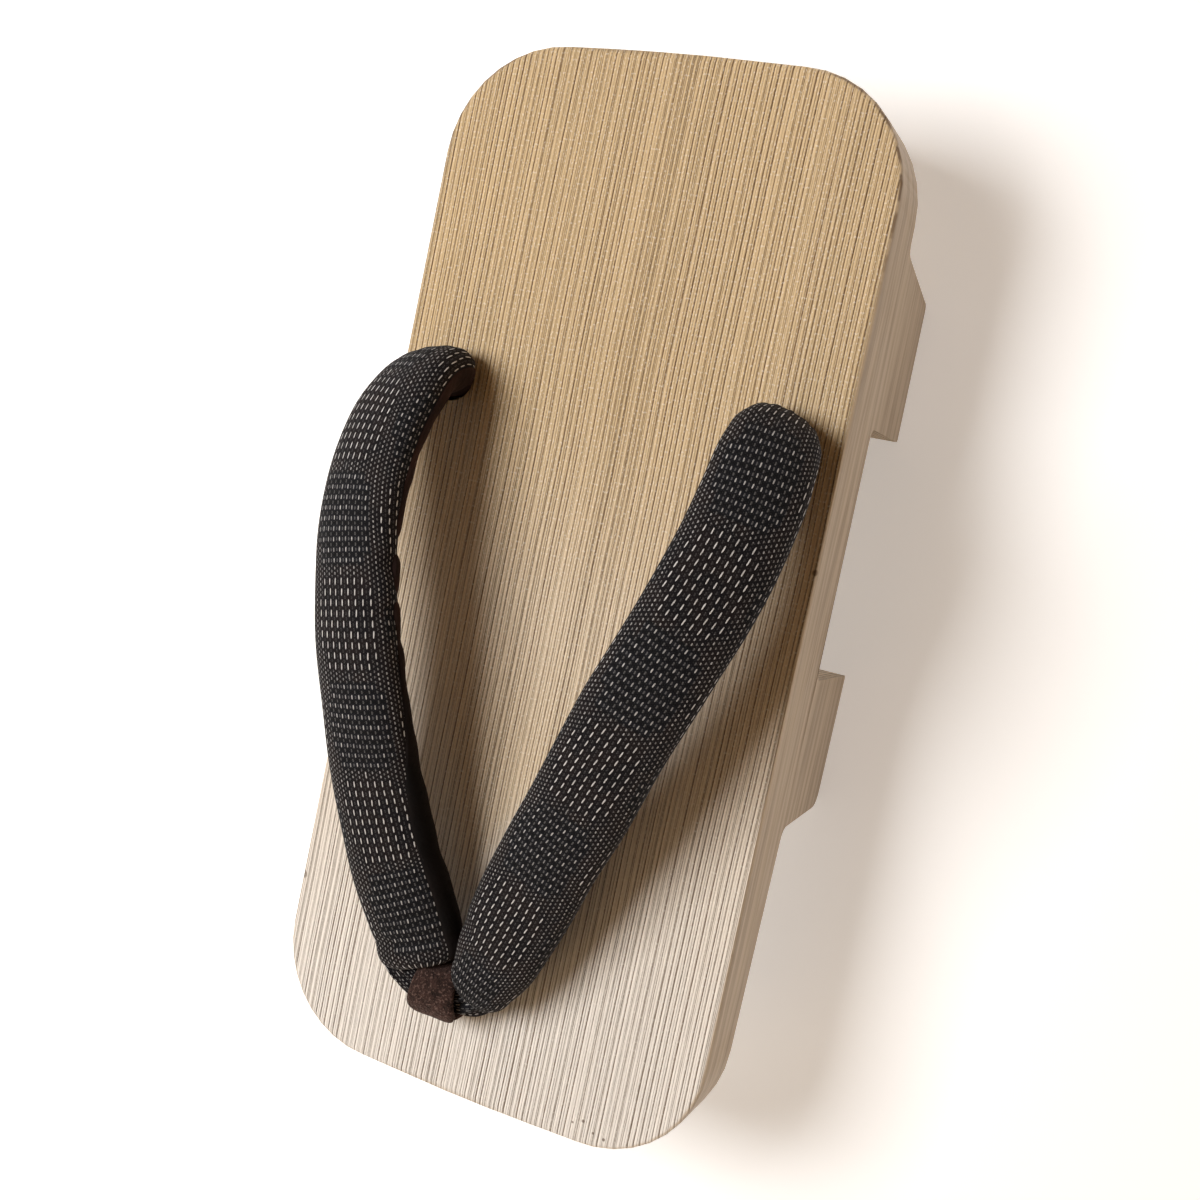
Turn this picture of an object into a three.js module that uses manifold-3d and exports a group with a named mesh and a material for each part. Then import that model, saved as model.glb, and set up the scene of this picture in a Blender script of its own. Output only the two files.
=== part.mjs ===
// A wooden geta: a cedar block with two teeth, and a padded cloth thong held by a toe loop.
// Millimetres, +Z up. The origin is on the ground below the middle of the base, with the
// toes towards -Y and the heel towards +Y. It is the left one of a pair: its toe hole lies
// off the centre line, on the big toe's side (-X).
import * as THREE from 'three';
import { mergeVertices } from 'three/addons/utils/BufferGeometryUtils.js';
import Module from 'manifold-3d';

const wasm = await Module();
wasm.setup();

// Base: one block of cedar, board and teeth together.
const BASE_LENGTH = 255;
const HEEL_WIDTH = 113.3;
const TOE_WIDTH = 114.1;
const SIDE_BOW = 1.3; // how far each long side swells at the middle
const HEEL_BOW = 2.2; // how far the heel's end swells at the centre line
const TOE_BOW = 2.4;
const HEEL_CORNER = 28.1;
const TOE_CORNER = 27.4;
const BOARD_THICKNESS = 18.5;
const TOP_EASE = 1.2; // softened edge round the upper face

// Teeth.
const TOOTH_HEIGHT = 30.2;
const FRONT_TOOTH_INSET = 83.5; // from the board's toe end to the front tooth
const FRONT_TOOTH_LENGTH = 36;
const FRONT_TOOTH_RAKE = 1.5; // how much shorter the foot is than the root
const REAR_TOOTH_INSET = 35; // from the board's heel end to the rear tooth
const REAR_TOOTH_LENGTH = 40.5;
const REAR_TOOTH_RAKE = 5.5;
const ROOT_FILLET = 3;
const FOOT_ROUND = 4.5; // the corner that rolls off the ground first
const FOOT_EASE = 1;

// Holes through the board.
const TOE_HOLE_INSET = 25; // from the board's toe end
const TOE_HOLE_OFFSET = 9;
const HEEL_HOLE_INSET = 82.5; // from the board's heel end
const HEEL_HOLE_SPREAD = 86; // from one heel hole to the other
const HEEL_HOLE_SLACK = 0.5; // round the neck of the strap
const RECESS_DEPTH = 7; // room for the toe knot, under the board

// Thong: two padded legs, pinched where the toe loop holds them.
const STRAP_WIDTH = 23.5;
const STRAP_THICKNESS = 11.5;
const STRAP_RISE = 25.6; // middle of the padding above the board, over the instep
const STRAP_LEAN = 16; // degrees that the legs' faces turn outwards
const STRAP_SKEW = 10.5; // how far off the centre line the legs meet, on the big toe's side
const NECK_WIDTH = 11;
const NECK_THICKNESS = 8;
const TIP_LENGTH = 7; // rounded front end of each padded leg
const TIP_STEPS = [0.4, 0.7, 0.9, 1]; // sections along it, as shares of its length
const TIP_BLUNTNESS = 0.25; // share of the leg's section left at its very end
const TIP_ROUNDING = { inner: 4, outer: 2 }; // exponent of the tip's outline, 2 being an ellipse
const PINCH_WIDTH = 9.8;
const PINCH_THICKNESS = 7.2;
const PINCH_REACH = 11; // to each side of the toe hole
const PINCH_DEPTH = 13; // from the loop back to where the legs cover it
const PINCH_HEIGHT = 6.5;

// Toe loop and knots.
const LOOP_WIDTH = 10;
const LOOP_THICKNESS = 2.6;
const LOOP_FLARE = 4.2; // how much wider it is in front than behind
const LOOP_FULLNESS = 3.3; // exponent of the band's section, 2 being an ellipse
const LOOP_STEM_WIDTH = 7; // of its two ends inside the toe hole
const LOOP_STEM_GAP = 2.4; // between them
const KNOT_RADIUS = 9;
const KNOT_HEIGHT = 8.5;
const KNOT_CROWN = 0.72; // share of the radius where the rounded side meets the flat ends
const CLEARANCE = 0.3;

const TOP = TOOTH_HEIGHT + BOARD_THICKNESS;
const HALF_LENGTH = BASE_LENGTH / 2;
const REAR_TOOTH_TOE_FACE = HALF_LENGTH - REAR_TOOTH_INSET - REAR_TOOTH_LENGTH;
const SECTION_SIDES = 22;
const SECTION_FULLNESS = 2.3; // exponent of the padded section, 2 being an ellipse

// Solid geometry helpers.

/** Fills the space between closed rings of points, with a flat fan on each end. */
function loft(rings) {
  const sides = rings[0].length;
  const points = rings.flat();
  const faces = [];
  for (let r = 0; r + 1 < rings.length; r += 1) {
    for (let s = 0; s < sides; s += 1) {
      const a = r * sides + s;
      const b = r * sides + ((s + 1) % sides);
      faces.push(a, b, b + sides, a, b + sides, a + sides);
    }
  }
  const ends = [rings[0], rings[rings.length - 1]];
  ends.forEach((ring, end) => {
    const centre = ring.reduce((sum, p) => sum.add(p), new THREE.Vector3()).divideScalar(sides);
    const first = end * (rings.length - 1) * sides;
    for (let s = 0; s < sides; s += 1) {
      const rim = [first + s, first + ((s + 1) % sides)];
      faces.push(points.length, rim[1 - end], rim[end]);
    }
    points.push(centre);
  });
  const geometry = new THREE.BufferGeometry().setFromPoints(points);
  geometry.setIndex(faces);
  return facedOutwards(geometry);
}

/** Turns every face over if the geometry encloses a negative volume. */
function facedOutwards(geometry) {
  const position = geometry.attributes.position;
  const index = geometry.index.array;
  const [a, b, c] = [new THREE.Vector3(), new THREE.Vector3(), new THREE.Vector3()];
  let volume = 0;
  for (let f = 0; f < index.length; f += 3) {
    a.fromBufferAttribute(position, index[f]);
    b.fromBufferAttribute(position, index[f + 1]);
    c.fromBufferAttribute(position, index[f + 2]);
    volume += a.dot(b.cross(c));
  }
  if (volume < 0) {
    for (let f = 0; f < index.length; f += 3) {
      [index[f + 1], index[f + 2]] = [index[f + 2], index[f + 1]];
    }
  }
  return geometry;
}

/** A geometry as a solid that can be cut and joined. */
function solid(geometry) {
  const bare = geometry.clone();
  bare.deleteAttribute('normal');
  bare.deleteAttribute('uv');
  const merged = mergeVertices(bare, 1e-4);
  const vertProperties = new Float32Array(merged.attributes.position.array);
  const triVerts = new Uint32Array(merged.index.array);
  return new wasm.Manifold(new wasm.Mesh({ numProp: 3, vertProperties, triVerts }));
}

/** A solid as a geometry that can be shown. */
function geometryOf(body) {
  const mesh = body.getMesh();
  const geometry = new THREE.BufferGeometry();
  geometry.setAttribute('position', new THREE.BufferAttribute(mesh.vertProperties, 3));
  geometry.setIndex(new THREE.BufferAttribute(mesh.triVerts, 1));
  geometry.computeVertexNormals();
  return geometry;
}

/** An upright cylinder from one height to another. */
function post(x, y, radius, low, high) {
  const geometry = new THREE.CylinderGeometry(radius, radius, high - low, 36);
  geometry.rotateX(Math.PI / 2);
  geometry.translate(x, y, (low + high) / 2);
  return geometry;
}

/** Values between the rows of a table, each column on its own smooth curve through them. */
function between(rows, place) {
  const row = Math.min(Math.floor(place), rows.length - 2);
  const t = place - row;
  const at = (i) => rows[Math.max(0, Math.min(rows.length - 1, i))];
  const result = {};
  for (const column of Object.keys(rows[0])) {
    const [p, q, r, s] = [row - 1, row, row + 1, row + 2].map((i) => at(i)[column]);
    const [before, after] = [(r - p) / 2, (s - q) / 2];
    const rise = r - q;
    result[column] = q + t * (before + t * (3 * rise - 2 * before - after
      + t * (before + after - 2 * rise)));
  }
  return result;
}

/**
 * Padded sections set square to a path, each turned so that its face looks along facing.
 * The tube is swollen by grow all round and at both ends.
 */
function paddedTube(stations, grow) {
  const rings = stations.map((station, i) => {
    const next = stations[Math.min(i + 1, stations.length - 1)].centre;
    const last = stations[Math.max(i - 1, 0)].centre;
    const ahead = next.clone().sub(last).normalize();
    const face = station.facing.clone().addScaledVector(ahead, -station.facing.dot(ahead)).normalize();
    const side = ahead.clone().cross(face);
    const end = Number(i === stations.length - 1) - Number(i === 0);
    const centre = station.centre.clone().addScaledVector(ahead, end * grow);
    const ring = [];
    for (let s = 0; s < SECTION_SIDES; s += 1) {
      const angle = (2 * Math.PI * s) / SECTION_SIDES;
      const round = (v) => Math.sign(v) * Math.abs(v) ** (2 / SECTION_FULLNESS);
      ring.push(centre.clone()
        .addScaledVector(side, round(Math.cos(angle)) * (station.width / 2 + grow))
        .addScaledVector(face, round(Math.sin(angle)) * (station.thickness / 2 + grow)));
    }
    return ring;
  });
  return loft(rings);
}

// Base.

/** The base's outline seen from above, drawn in by inset all round. */
function baseOutline(inset) {
  const sideX = (y) => {
    const t = (y + HALF_LENGTH) / BASE_LENGTH;
    return (TOE_WIDTH + (HEEL_WIDTH - TOE_WIDTH) * t) / 2 + SIDE_BOW * (1 - (2 * t - 1) ** 2);
  };
  const heelY = (x) => HALF_LENGTH - HEEL_BOW * (x / (HEEL_WIDTH / 2)) ** 2;
  const toeY = (x) => -HALF_LENGTH + TOE_BOW * (x / (TOE_WIDTH / 2)) ** 2;
  const heelCentreY = heelY(HEEL_WIDTH / 2 - HEEL_CORNER) - HEEL_CORNER;
  const heelCentreX = sideX(heelCentreY) - HEEL_CORNER;
  const toeCentreY = toeY(TOE_WIDTH / 2 - TOE_CORNER) + TOE_CORNER;
  const toeCentreX = sideX(toeCentreY) - TOE_CORNER;
  const endSteps = 5;
  const cornerSteps = 9;
  const sideSteps = 12;
  const points = [];
  for (let i = 0; i < endSteps; i += 1) {
    const x = (heelCentreX * i) / endSteps;
    points.push([x, heelY(x) - inset]);
  }
  for (let i = 0; i <= cornerSteps; i += 1) {
    const angle = (Math.PI / 2) * (1 - i / cornerSteps);
    const radius = HEEL_CORNER - inset;
    points.push([heelCentreX + radius * Math.cos(angle), heelCentreY + radius * Math.sin(angle)]);
  }
  for (let i = 1; i < sideSteps; i += 1) {
    const y = heelCentreY + ((toeCentreY - heelCentreY) * i) / sideSteps;
    points.push([sideX(y) - inset, y]);
  }
  for (let i = 0; i <= cornerSteps; i += 1) {
    const angle = (-Math.PI / 2) * (i / cornerSteps);
    const radius = TOE_CORNER - inset;
    points.push([toeCentreX + radius * Math.cos(angle), toeCentreY + radius * Math.sin(angle)]);
  }
  for (let i = 1; i <= endSteps; i += 1) {
    const x = toeCentreX * (1 - i / endSteps);
    points.push([x, toeY(x) + inset]);
  }
  const otherHalf = points.slice(1, -1).reverse().map(([x, y]) => [-x, y]);
  return [...points, ...otherHalf];
}

/** The base seen from the side: board and both teeth, as a shape with Y across and Z up. */
function sideProfile() {
  const half = HALF_LENGTH + 1;
  const low = TOOTH_HEIGHT;
  const rootShare = ROOT_FILLET / TOOTH_HEIGHT;
  const frontTooth = FRONT_TOOTH_INSET - HALF_LENGTH;
  const shape = new THREE.Shape();
  const teeth = [
    { toe: frontTooth, heel: frontTooth + FRONT_TOOTH_LENGTH,
      toeRake: FRONT_TOOTH_RAKE, heelRake: 0, toeRound: FOOT_ROUND, heelRound: FOOT_EASE },
    { toe: REAR_TOOTH_TOE_FACE, heel: REAR_TOOTH_TOE_FACE + REAR_TOOTH_LENGTH,
      toeRake: 0, heelRake: REAR_TOOTH_RAKE, toeRound: FOOT_EASE, heelRound: FOOT_ROUND / 2 },
  ];
  shape.moveTo(-half, TOP);
  shape.lineTo(-half, low);
  for (const tooth of teeth) {
    shape.lineTo(tooth.toe - ROOT_FILLET, low);
    shape.quadraticCurveTo(tooth.toe, low, tooth.toe + tooth.toeRake * rootShare, low - ROOT_FILLET);
    const toeFoot = tooth.toe + tooth.toeRake;
    const heelFoot = tooth.heel - tooth.heelRake;
    shape.lineTo(toeFoot, tooth.toeRound);
    shape.quadraticCurveTo(toeFoot, 0, toeFoot + tooth.toeRound, 0);
    shape.lineTo(heelFoot - tooth.heelRound, 0);
    shape.quadraticCurveTo(heelFoot, 0, heelFoot, tooth.heelRound);
    shape.lineTo(tooth.heel - tooth.heelRake * rootShare, low - ROOT_FILLET);
    shape.quadraticCurveTo(tooth.heel, low, tooth.heel + ROOT_FILLET, low);
  }
  shape.lineTo(half, low);
  shape.lineTo(half, TOP);
  return shape;
}

function makeSole() {
  const levels = [{ z: -1, inset: 0 }];
  for (const angle of [0, Math.PI / 4, Math.PI / 2]) {
    levels.push({
      z: TOP - TOP_EASE * (1 - Math.sin(angle)),
      inset: TOP_EASE * (1 - Math.cos(angle)),
    });
  }
  const rings = levels.map(({ z, inset }) => baseOutline(inset)
    .map(([x, y]) => new THREE.Vector3(x, y, z)));
  const block = solid(loft(rings));
  const width = Math.max(HEEL_WIDTH, TOE_WIDTH) + 4 * SIDE_BOW;
  const profile = new THREE.ExtrudeGeometry(sideProfile(), {
    depth: width, bevelEnabled: false, curveSegments: 5,
  });
  profile.applyMatrix4(new THREE.Matrix4().makeBasis(
    new THREE.Vector3(0, 1, 0), new THREE.Vector3(0, 0, 1), new THREE.Vector3(1, 0, 0)));
  profile.translate(-width / 2, 0, 0);
  let body = solid(profile).intersect(block);
  for (const hole of heelHoles) {
    body = body.subtract(solid(post(hole.x, hole.y, heelHoleRadius, TOOTH_HEIGHT - 1, TOP + 1)));
  }
  const recessTop = TOOTH_HEIGHT + RECESS_DEPTH;
  body = body.subtract(solid(post(toeHole.x, toeHole.y, toeHoleRadius, TOOTH_HEIGHT - 1, TOP + 1)));
  body = body.subtract(solid(post(toeHole.x, toeHole.y, recessRadius, TOOTH_HEIGHT - 1, recessTop)));
  return geometryOf(body);
}

// Where the holes are, and how wide, from what passes through them.
const toeHole = { x: -TOE_HOLE_OFFSET, y: TOE_HOLE_INSET - HALF_LENGTH };
const heelHoleY = HALF_LENGTH - HEEL_HOLE_INSET;
const heelHoles = [-1, 1].map((side) => ({ side, x: (side * HEEL_HOLE_SPREAD) / 2, y: heelHoleY }));
const heelHoleRadius = Math.max(NECK_WIDTH, NECK_THICKNESS) / 2 + HEEL_HOLE_SLACK;
const stemReach = LOOP_STEM_GAP / 2 + LOOP_THICKNESS;
const toeHoleRadius = Math.hypot(stemReach, LOOP_STEM_WIDTH / 2) + CLEARANCE;
const recessRadius = KNOT_RADIUS + CLEARANCE;

// Thong.

// One leg from the heel hole forward. along is the share of the way from the heel holes to
// the toe hole, out the share of half the heel holes' spread, up the share of the rise, and
// width and thick shares of the padding's own. back turns the face from looking up to
// looking backwards, in degrees, and lean is the share of the outward turn.
const LEG = [
  { along: 0.000, out: 1.000, up: -0.300, width: 0.468, thick: 0.696, back: 90, lean: 1.0 },
  { along: 0.000, out: 1.000, up: -0.020, width: 0.468, thick: 0.696, back: 90, lean: 1.0 },
  { along: -0.006, out: 1.007, up: 0.120, width: 0.700, thick: 0.860, back: 84, lean: 1.1 },
  { along: -0.003, out: 1.018, up: 0.265, width: 0.800, thick: 0.940, back: 70, lean: 1.2 },
  { along: 0.012, out: 1.036, up: 0.435, width: 0.890, thick: 0.980, back: 50, lean: 1.2 },
  { along: 0.047, out: 1.052, up: 0.590, width: 0.950, thick: 1.000, back: 30, lean: 1.2 },
  { along: 0.102, out: 1.066, up: 0.730, width: 0.985, thick: 1.000, back: 14, lean: 1.1 },
  { along: 0.180, out: 1.048, up: 0.875, width: 1.000, thick: 1.000, back: 4, lean: 1.0 },
  { along: 0.271, out: 0.991, up: 0.968, width: 1.000, thick: 1.000, back: 0, lean: 1.0 },
  { along: 0.359, out: 0.905, up: 1.000, width: 1.000, thick: 1.000, back: 0, lean: 0.9 },
  { along: 0.441, out: 0.819, up: 0.976, width: 1.000, thick: 1.000, back: 0, lean: 0.8 },
  { along: 0.536, out: 0.716, up: 0.883, width: 1.000, thick: 1.000, back: 0, lean: 0.6 },
  { along: 0.617, out: 0.628, up: 0.773, width: 1.000, thick: 1.000, back: 0, lean: 0.4 },
  { along: 0.698, out: 0.526, up: 0.656, width: 1.000, thick: 1.000, back: 0, lean: 0.2 },
];
// Where each padded leg ends behind the toe loop: the outer leg reaches further forward and
// lies over the pinched cloth.
const TIPS = {
  inner: [
    { along: 0.790, out: 0.385, up: 0.531, width: 0.985, thick: 1.000, back: 0, lean: 0.0 },
    { along: 0.864, out: 0.240, up: 0.436, width: 0.975, thick: 0.960, back: 0, lean: -0.1 },
    { along: 0.906, out: 0.165, up: 0.386, width: 0.965, thick: 0.900, back: 0, lean: -0.1 },
  ],
  outer: [
    { along: 0.808, out: 0.415, up: 0.504, width: 0.985, thick: 1.000, back: 0, lean: 0.1 },
    { along: 0.890, out: 0.335, up: 0.412, width: 0.890, thick: 0.960, back: 0, lean: 0.0 },
    { along: 0.938, out: 0.282, up: 0.362, width: 0.710, thick: 0.880, back: 0, lean: 0.0 },
  ],
};
// The pinched cloth under the toe loop, from the inner leg to the outer one. across is the
// share of its reach, behind the share of its depth, and up the share of its height.
const PINCH = [
  { across: -0.95, behind: 1.00, up: 1.25, width: 0.95 },
  { across: -1.20, behind: 0.62, up: 1.10, width: 1.08 },
  { across: -0.66, behind: 0.26, up: 1.00, width: 1.08 },
  { across: 0.00, behind: 0.16, up: 1.00, width: 1.00 },
  { across: 0.48, behind: 0.19, up: 1.00, width: 1.06 },
  { across: 0.92, behind: 0.40, up: 1.05, width: 1.02 },
  { across: 1.10, behind: 0.85, up: 1.20, width: 0.88 },
];
const STEPS_PER_ROW = 2;

/** The stations of one leg, from under the board to the rounded tip. */
function legStations(side, name) {
  const rows = [...LEG, ...TIPS[name]];
  const rounding = TIP_ROUNDING[name];
  const reach = heelHoleY - toeHole.y;
  const radians = Math.PI / 180;
  const stationAt = (place) => {
    const row = between(rows, place);
    const axisX = -STRAP_SKEW * row.along;
    const lean = row.lean * STRAP_LEAN * radians;
    const back = row.back * radians;
    return {
      centre: new THREE.Vector3(
        axisX + (side * row.out * HEEL_HOLE_SPREAD) / 2,
        heelHoleY - row.along * reach,
        TOP + row.up * STRAP_RISE),
      facing: new THREE.Vector3(
        side * Math.sin(lean), Math.cos(lean) * Math.sin(back), Math.cos(lean) * Math.cos(back)),
      width: row.width * STRAP_WIDTH,
      thickness: row.thick * STRAP_THICKNESS,
    };
  };
  const stations = [];
  for (let step = 0; step <= (rows.length - 1) * STEPS_PER_ROW; step += 1) {
    stations.push(stationAt(step / STEPS_PER_ROW));
  }
  const end = stations[stations.length - 1];
  const ahead = end.centre.clone().sub(stations[stations.length - 2].centre).normalize();
  for (const share of TIP_STEPS) {
    const narrowing = Math.max((1 - share ** rounding) ** (1 / rounding), TIP_BLUNTNESS);
    stations.push({
      centre: end.centre.clone().addScaledVector(ahead, share * TIP_LENGTH),
      facing: end.facing,
      width: end.width * narrowing,
      thickness: end.thickness * narrowing,
    });
  }
  stations[0].centre.z = TOOTH_HEIGHT + CLEARANCE;
  for (const neck of stations.slice(0, STEPS_PER_ROW + 1)) {
    neck.width = NECK_WIDTH;
    neck.thickness = NECK_THICKNESS;
  }
  return stations;
}

/** The stations of the pinched cloth between the legs. */
function pinchStations() {
  const stations = [];
  for (let step = 0; step <= (PINCH.length - 1) * STEPS_PER_ROW; step += 1) {
    const row = between(PINCH, step / STEPS_PER_ROW);
    stations.push({
      centre: new THREE.Vector3(
        toeHole.x + row.across * PINCH_REACH,
        toeHole.y + row.behind * PINCH_DEPTH,
        TOP + row.up * PINCH_HEIGHT),
      facing: new THREE.Vector3(0, 0, 1),
      width: row.width * PINCH_WIDTH,
      thickness: row.width * PINCH_THICKNESS,
    });
  }
  return stations;
}

/** Both legs and the pinched cloth as one solid, swollen all round by grow. */
function strapSolid(grow) {
  const inner = solid(paddedTube(legStations(-1, 'inner'), grow));
  const outer = solid(paddedTube(legStations(1, 'outer'), grow));
  const pinch = solid(paddedTube(pinchStations(), grow));
  return inner.add(outer).add(pinch);
}

// Toe loop: a felt band over the pinched cloth, both ends down the toe hole.

// Half of the loop, from its end in the toe hole up to the arch. in is the share of the
// stem's place beside the hole's middle and out the share of the arch's, which add up; up is
// the share of the shoulder's height above the board or, below it, of the depth of its end;
// wide is the share of the band's width.
const STEM_SHARE = LOOP_STEM_WIDTH / LOOP_WIDTH;
const LOOP_HALF = [
  { in: 1.00, out: 0.00, up: -1.00, wide: STEM_SHARE },
  { in: 1.00, out: 0.00, up: -0.35, wide: STEM_SHARE },
  { in: 1.15, out: 0.00, up: 0.00, wide: STEM_SHARE },
  { in: 0.00, out: 0.86, up: 0.45, wide: 0.88 },
];
const LOOP_SHOULDER = 0.95; // where the arch springs, as a share of the pinched cloth's height
const LOOP_ARCH_EDGE = 0.94; // share of the band's width there
const LOOP_ARCH_POWER = 0.9; // below 1 the arch is fuller than an ellipse

/** The loop's middle line beside the toe hole: y behind it, z above the board, width there. */
function loopLine() {
  const stem = (LOOP_STEM_GAP + LOOP_THICKNESS) / 2;
  const across = PINCH_WIDTH / 2 + LOOP_THICKNESS / 2 + CLEARANCE;
  const over = PINCH_HEIGHT + PINCH_THICKNESS / 2 + LOOP_THICKNESS / 2 + CLEARANCE;
  const shift = PINCH[3].behind * PINCH_DEPTH;
  const depth = BOARD_THICKNESS - RECESS_DEPTH - CLEARANCE;
  const shoulder = PINCH_HEIGHT * LOOP_SHOULDER;
  const halfAt = (side) => LOOP_HALF.map((row) => ({
    y: side * row.in * stem + (row.out ? shift + side * row.out * across : 0),
    z: row.up * (row.up < 0 ? depth : shoulder),
    width: row.wide * LOOP_WIDTH,
  }));
  const arch = [];
  const arcSteps = 12;
  for (let i = 0; i <= arcSteps; i += 1) {
    const angle = (Math.PI * i) / arcSteps;
    const rise = Math.sin(angle);
    arch.push({
      y: shift + across * Math.cos(angle),
      z: shoulder + (over - shoulder) * rise ** LOOP_ARCH_POWER,
      width: LOOP_WIDTH * (LOOP_ARCH_EDGE + (1 - LOOP_ARCH_EDGE) * rise),
    });
  }
  const line = [...halfAt(1), ...arch, ...halfAt(-1).reverse()];
  // The front half of the arch and the waist below it flare.
  return line.map((point) => {
    const inFront = Math.max(0, (shift - point.y) / across);
    const above = Math.max(0, Math.min(1, point.z / (LOOP_HALF[3].up * shoulder)));
    return { ...point, width: point.width + LOOP_FLARE * inFront * above };
  });
}

function makeToeLoop() {
  const line = loopLine();
  const rings = line.map((point, i) => {
    const next = line[Math.min(i + 1, line.length - 1)];
    const last = line[Math.max(i - 1, 0)];
    const ahead = new THREE.Vector2(next.y - last.y, next.z - last.z).normalize();
    const ring = [];
    const sides = 14;
    for (let s = 0; s < sides; s += 1) {
      const angle = (2 * Math.PI * s) / sides;
      const full = (v) => Math.sign(v) * Math.abs(v) ** (2 / LOOP_FULLNESS);
      const off = (full(Math.sin(angle)) * LOOP_THICKNESS) / 2;
      ring.push(new THREE.Vector3(
        toeHole.x + (full(Math.cos(angle)) * point.width) / 2,
        toeHole.y + point.y - ahead.y * off,
        TOP + point.z + ahead.x * off));
    }
    return ring;
  });
  // Cut clear of the strap, and of the board outside the hole.
  const hole = { radius: toeHoleRadius - CLEARANCE, low: TOOTH_HEIGHT - 1, high: TOP + 1 };
  const throat = solid(post(toeHole.x, toeHole.y, hole.radius, hole.low, hole.high));
  const slab = solid(post(toeHole.x, toeHole.y, 3 * hole.radius, TOOTH_HEIGHT, TOP + CLEARANCE));
  const band = solid(loft(rings)).subtract(strapSolid(CLEARANCE));
  return geometryOf(band.subtract(slab.subtract(throat)));
}

/** A plain round knot of cord, its flat top at the given height. */
function makeKnot(x, y, top, height) {
  const profile = [new THREE.Vector2(0, -height)];
  const steps = 8;
  for (let i = 0; i <= steps; i += 1) {
    const angle = (Math.PI * i) / steps;
    profile.push(new THREE.Vector2(
      KNOT_RADIUS * (KNOT_CROWN + (1 - KNOT_CROWN) * Math.sin(angle)),
      -height * (0.5 + 0.5 * Math.cos(angle))));
  }
  profile.push(new THREE.Vector2(0, 0));
  const geometry = new THREE.LatheGeometry(profile, 28);
  geometry.rotateX(Math.PI / 2);
  geometry.translate(x, y, top);
  return geometryOf(solid(geometry));
}

// Materials and the finished geta.

const cedar = new THREE.MeshStandardMaterial({ color: 0xcdb089, roughness: 0.62, metalness: 0 });
const cloth = new THREE.MeshStandardMaterial({ color: 0x2c2a30, roughness: 0.9, metalness: 0 });
const felt = new THREE.MeshStandardMaterial({ color: 0x3a231d, roughness: 0.95, metalness: 0 });
const cord = new THREE.MeshStandardMaterial({ color: 0xc9b994, roughness: 0.85, metalness: 0 });

const geta = new THREE.Group();

function addPiece(name, geometry, material) {
  const mesh = new THREE.Mesh(geometry, material);
  mesh.name = name;
  geta.add(mesh);
}

addPiece('sole', makeSole(), cedar);
addPiece('strap', geometryOf(strapSolid(0)), cloth);
addPiece('toe_loop', makeToeLoop(), felt);
const toeKnotTop = TOOTH_HEIGHT + RECESS_DEPTH - CLEARANCE;
const toeKnotHeight = RECESS_DEPTH - 2 * CLEARANCE;
addPiece('toe_knot', makeKnot(toeHole.x, toeHole.y, toeKnotTop, toeKnotHeight), cord);
// The heel knots lie under their holes, as far back as the rear tooth's fillet lets them.
const knotLimit = REAR_TOOTH_TOE_FACE - ROOT_FILLET - CLEARANCE - KNOT_RADIUS;
for (const hole of heelHoles) {
  const name = hole.side < 0 ? 'heel_knot_inner' : 'heel_knot_outer';
  const y = Math.min(hole.y, knotLimit);
  addPiece(name, makeKnot(hole.x, y, TOOTH_HEIGHT - CLEARANCE, KNOT_HEIGHT), cord);
}

export default geta;
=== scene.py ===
# %% [markdown]
# # A wooden geta with a padded cloth thong
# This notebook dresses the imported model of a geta: a cedar board with two teeth, a stuffed
# cotton thong lined with velveteen, a felt toe loop and cord knots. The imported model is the
# fixed frame: all that is made here stays where its solids are, in metres, +Z up, toes
# towards -Y. The shapes are surfaces worked out with numpy and the finishes are node graphs.

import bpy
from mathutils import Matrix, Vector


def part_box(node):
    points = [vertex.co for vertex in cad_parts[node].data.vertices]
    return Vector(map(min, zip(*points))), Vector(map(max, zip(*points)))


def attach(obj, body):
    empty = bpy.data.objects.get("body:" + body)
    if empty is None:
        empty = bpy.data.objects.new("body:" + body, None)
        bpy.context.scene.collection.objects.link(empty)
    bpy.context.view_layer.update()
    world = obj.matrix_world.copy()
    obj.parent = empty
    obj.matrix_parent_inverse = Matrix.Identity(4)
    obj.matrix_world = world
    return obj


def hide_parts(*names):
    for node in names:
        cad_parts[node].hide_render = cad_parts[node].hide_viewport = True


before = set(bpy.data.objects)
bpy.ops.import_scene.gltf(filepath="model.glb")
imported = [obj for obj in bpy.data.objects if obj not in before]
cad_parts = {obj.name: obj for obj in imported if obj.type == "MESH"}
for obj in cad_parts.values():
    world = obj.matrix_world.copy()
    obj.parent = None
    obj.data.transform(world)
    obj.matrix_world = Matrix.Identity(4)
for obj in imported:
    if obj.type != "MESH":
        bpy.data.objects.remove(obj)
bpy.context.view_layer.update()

import bmesh
import bpy
import numpy as np
from mathutils import Matrix, Vector

MM = 0.001
print("nodes:", ", ".join(sorted(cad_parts)))

# %% [markdown]
# ## Camera
# The view is a phone's, held close above the heel's outer side, so the near corner is much
# larger than the far one. A camera is a place, three directions and a lens. They were
# worked out from the board's corners and edges, which is surer than turning it by eye.
# The camera then turned about its own place until the one shoe stood in the middle. That
# keeps what it sees of the shoe, and only moves it in the frame.

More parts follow.
